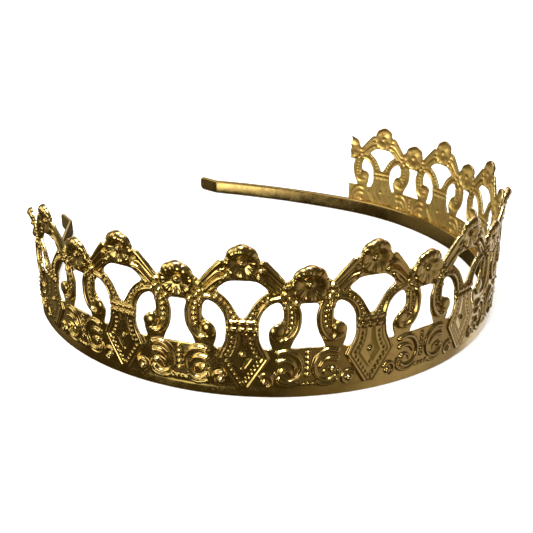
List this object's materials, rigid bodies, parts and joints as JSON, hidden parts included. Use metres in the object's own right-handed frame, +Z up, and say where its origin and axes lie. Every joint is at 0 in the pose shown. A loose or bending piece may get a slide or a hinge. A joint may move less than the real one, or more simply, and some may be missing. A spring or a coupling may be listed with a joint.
{
  "type": "crown headband",
  "caption": "Open metal crown headband: a flat spring band with bare out-turned ends, carrying a pierced, stamped gallery strip of flowers, arches and scrolls.",
  "frame": {"origin": "centre of the circle of the headband's front arc, level with the band's lower edge", "axes": "+Z up as the crown stands on a table, -Y towards its front, +X to the right seen from above with the front at the bottom"},
  "size_m": [0.1396, 0.1531, 0.0356],
  "materials": {
    "band_metal": "polished antique brass, lightly worn",
    "gallery_brass": "polished antique brass, darkened in the recesses",
    "solder": "dull soft solder under antique plating"
  },
  "bodies": {
    "root": {"headband": "band_metal", "solder_seam": "solder", "gallery_repeat_1": "gallery_brass", "gallery_repeat_2": "gallery_brass", "gallery_repeat_3": "gallery_brass", "gallery_repeat_4": "gallery_brass", "gallery_repeat_5": "gallery_brass", "gallery_repeat_6": "gallery_brass", "gallery_repeat_7": "gallery_brass", "gallery_repeat_8": "gallery_brass", "gallery_repeat_9": "gallery_brass"}
  },
  "joints": []
}
